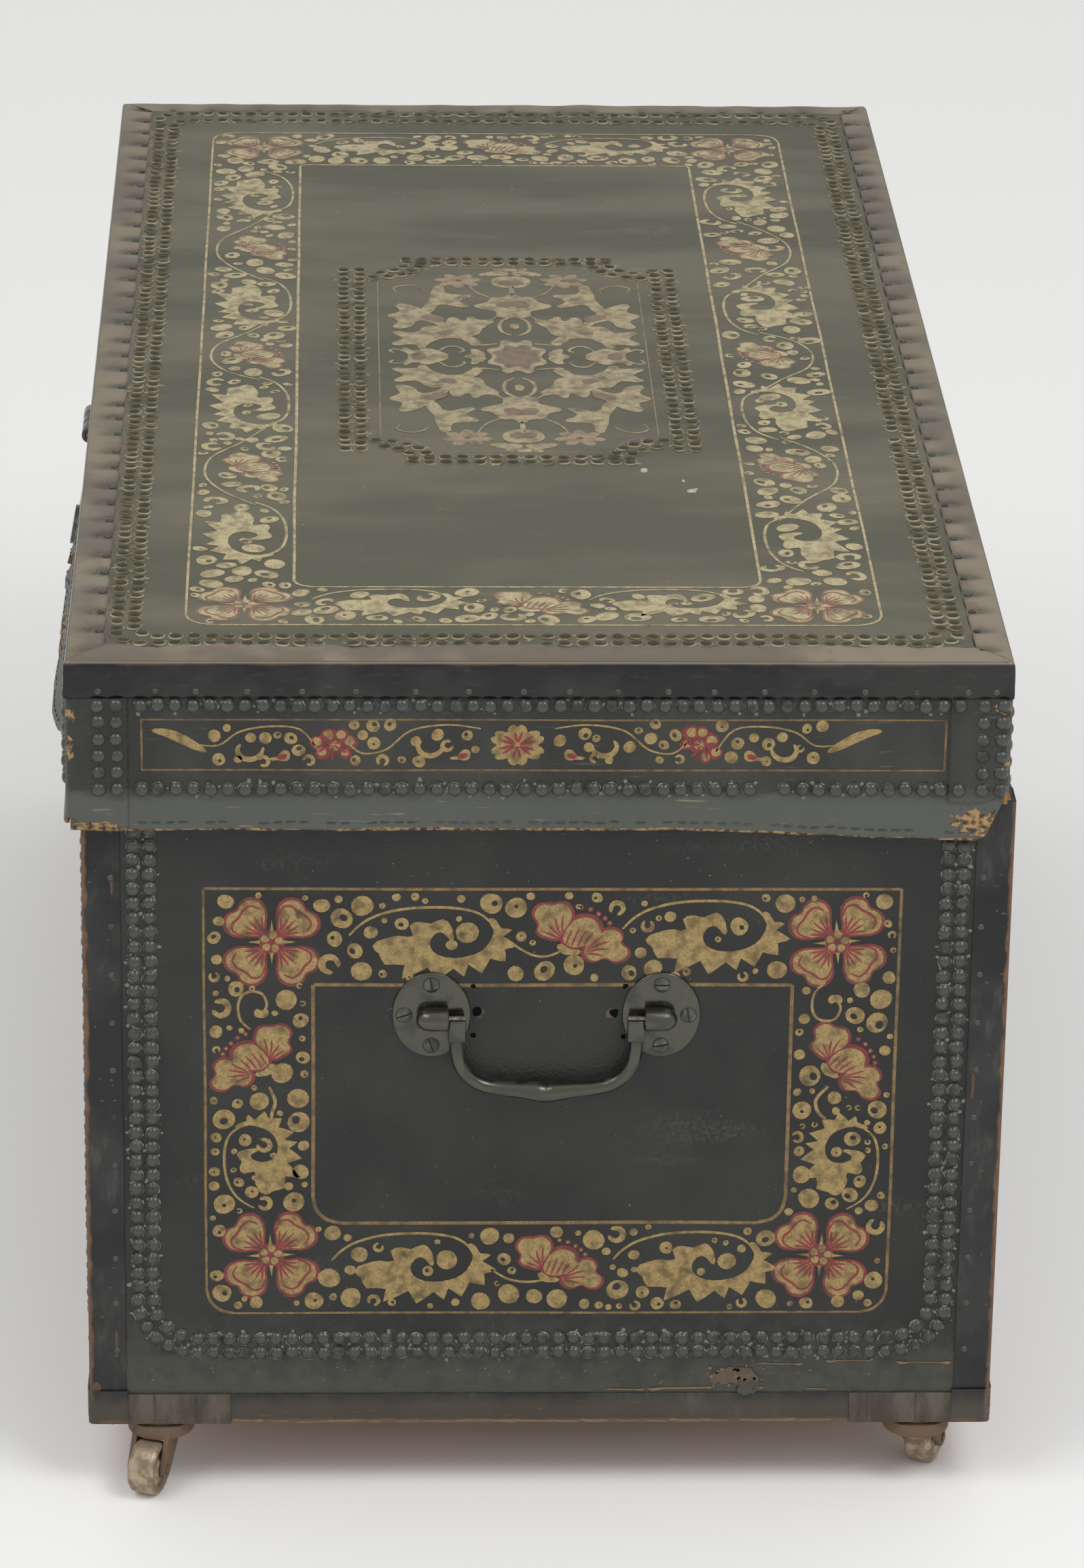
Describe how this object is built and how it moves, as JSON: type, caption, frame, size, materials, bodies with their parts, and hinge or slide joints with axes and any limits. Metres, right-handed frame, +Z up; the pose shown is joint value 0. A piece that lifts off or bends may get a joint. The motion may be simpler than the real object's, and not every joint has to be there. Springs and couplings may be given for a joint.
{
  "type": "leather covered trunk",
  "caption": "Rectangular leather-covered wooden trunk with hinged overhanging lid, studded painted panels, hasp lock, drop end handles and swivel casters.",
  "frame": {"origin": "on the floor, below the middle of the trunk's bounding box", "axes": "+X along the trunk to the end that the picture shows, -Y to the lock side, +Y to the hinges, +Z up"},
  "size_m": [0.958, 0.4892, 0.46],
  "materials": {
    "camphorwood": "planed, unfinished inside",
    "painted_leather": "dark lacquered, painted border",
    "worn_leather": "rubbed brown",
    "japanned_sheet": "dark japanned, rubbed",
    "dark_bronze": "dark patina",
    "pin_steel": "worn",
    "lock_brass": "aged",
    "caster_iron": "brown, worn",
    "wheel_brass": "dusty"
  },
  "bodies": {
    "case": {"front_board": "camphorwood", "back_board": "camphorwood", "near_end_board": "camphorwood", "far_end_board": "camphorwood", "bottom_board": "camphorwood", "front_leather": "painted_leather", "back_leather": "painted_leather", "near_end_leather": "painted_leather", "far_end_leather": "painted_leather", "corner_bindings": "japanned_sheet", "base_bindings": "japanned_sheet", "base_corner_caps": "worn_leather", "case_hinge_leaves": "lock_brass", "case_hinge_screws": "lock_brass", "hinge_pins": "pin_steel", "lock_plate": "lock_brass", "lock_plate_pins": "lock_brass", "lock_case": "lock_brass", "handle_plates": "dark_bronze", "handle_screws": "pin_steel", "caster_plates": "caster_iron", "caster_screws": "caster_iron", "caster_kingpins": "caster_iron"},
    "lid": {"lid_board": "camphorwood", "lid_front_rail": "camphorwood", "lid_back_rail": "camphorwood", "lid_near_end_rail": "camphorwood", "lid_far_end_rail": "camphorwood", "lid_front_band": "painted_leather", "lid_back_band": "painted_leather", "lid_near_end_band": "painted_leather", "lid_far_end_band": "painted_leather", "lid_top_leather": "painted_leather", "lid_bindings": "japanned_sheet", "lid_corner_wraps": "painted_leather", "lid_hinge_leaves": "lock_brass", "lid_hinge_screws": "lock_brass", "hasp_leaf": "lock_brass", "hasp_pin": "pin_steel", "hasp_leaf_pins": "lock_brass"},
    "hasp": {"hasp": "lock_brass", "hasp_staple": "lock_brass"},
    "lock_bolt": {"lock_bolt": "lock_brass"},
    "near_bail": {"near_bail": "dark_bronze", "near_bail_pins": "pin_steel"},
    "far_bail": {"far_bail": "dark_bronze", "far_bail_pins": "pin_steel"},
    "near_front_caster": {"near_front_fork": "caster_iron", "near_front_axle": "pin_steel"},
    "near_front_wheel": {"near_front_wheel": "wheel_brass"},
    "near_back_caster": {"near_back_fork": "caster_iron", "near_back_axle": "pin_steel"},
    "near_back_wheel": {"near_back_wheel": "wheel_brass"},
    "far_front_caster": {"far_front_fork": "caster_iron", "far_front_axle": "pin_steel"},
    "far_front_wheel": {"far_front_wheel": "wheel_brass"},
    "far_back_caster": {"far_back_fork": "caster_iron", "far_back_axle": "pin_steel"},
    "far_back_wheel": {"far_back_wheel": "wheel_brass"}
  },
  "joints": [
    {"name": "lid_hinge", "type": "hinge", "parent": "case", "child": "lid", "pos_m": [0, 0.24136, 0.3832], "axis": [-1, 0, 0], "range_deg": [0, 105]},
    {"name": "hasp_hinge", "type": "hinge", "parent": "lid", "child": "hasp", "pos_m": [0, -0.23204, 0.415], "axis": [-1, 0, 0], "range_deg": [-10, 100]},
    {"name": "lock_bolt_slide", "type": "slide", "parent": "case", "child": "lock_bolt", "axis": [1, 0, 0], "range_m": [0, 0.008]},
    {"name": "near_bail_hinge", "type": "hinge", "parent": "case", "child": "near_bail", "pos_m": [0.4677, 0.00856, 0.268], "axis": [0, -1, 0], "range_deg": [0, 95]},
    {"name": "far_bail_hinge", "type": "hinge", "parent": "case", "child": "far_bail", "pos_m": [-0.4677, 0.00856, 0.268], "axis": [0, 1, 0], "range_deg": [0, 95]},
    {"name": "near_front_swivel", "type": "hinge", "parent": "case", "child": "near_front_caster", "pos_m": [0.447, -0.18544, 0.03], "axis": [0, 0, 1], "continuous": true},
    {"name": "near_front_wheel_spin", "type": "hinge", "parent": "near_front_caster", "child": "near_front_wheel", "pos_m": [0.46344, -0.19142, 0.014], "axis": [0.342, 0.9397, 0], "continuous": true},
    {"name": "near_back_swivel", "type": "hinge", "parent": "case", "child": "near_back_caster", "pos_m": [0.447, 0.20256, 0.03], "axis": [0, 0, 1], "continuous": true},
    {"name": "near_back_wheel_spin", "type": "hinge", "parent": "near_back_caster", "child": "near_back_wheel", "pos_m": [0.43077, 0.20912, 0.014], "axis": [-0.3746, -0.9272, 0], "continuous": true},
    {"name": "far_front_swivel", "type": "hinge", "parent": "case", "child": "far_front_caster", "pos_m": [-0.447, -0.18544, 0.03], "axis": [0, 0, 1], "continuous": true},
    {"name": "far_front_wheel_spin", "type": "hinge", "parent": "far_front_caster", "child": "far_front_wheel", "pos_m": [-0.46344, -0.19142, 0.014], "axis": [0.342, -0.9397, 0], "continuous": true},
    {"name": "far_back_swivel", "type": "hinge", "parent": "case", "child": "far_back_caster", "pos_m": [-0.447, 0.20256, 0.03], "axis": [0, 0, 1], "continuous": true},
    {"name": "far_back_wheel_spin", "type": "hinge", "parent": "far_back_caster", "child": "far_back_wheel", "pos_m": [-0.43077, 0.20912, 0.014], "axis": [-0.3746, 0.9272, 0], "continuous": true}
  ]
}
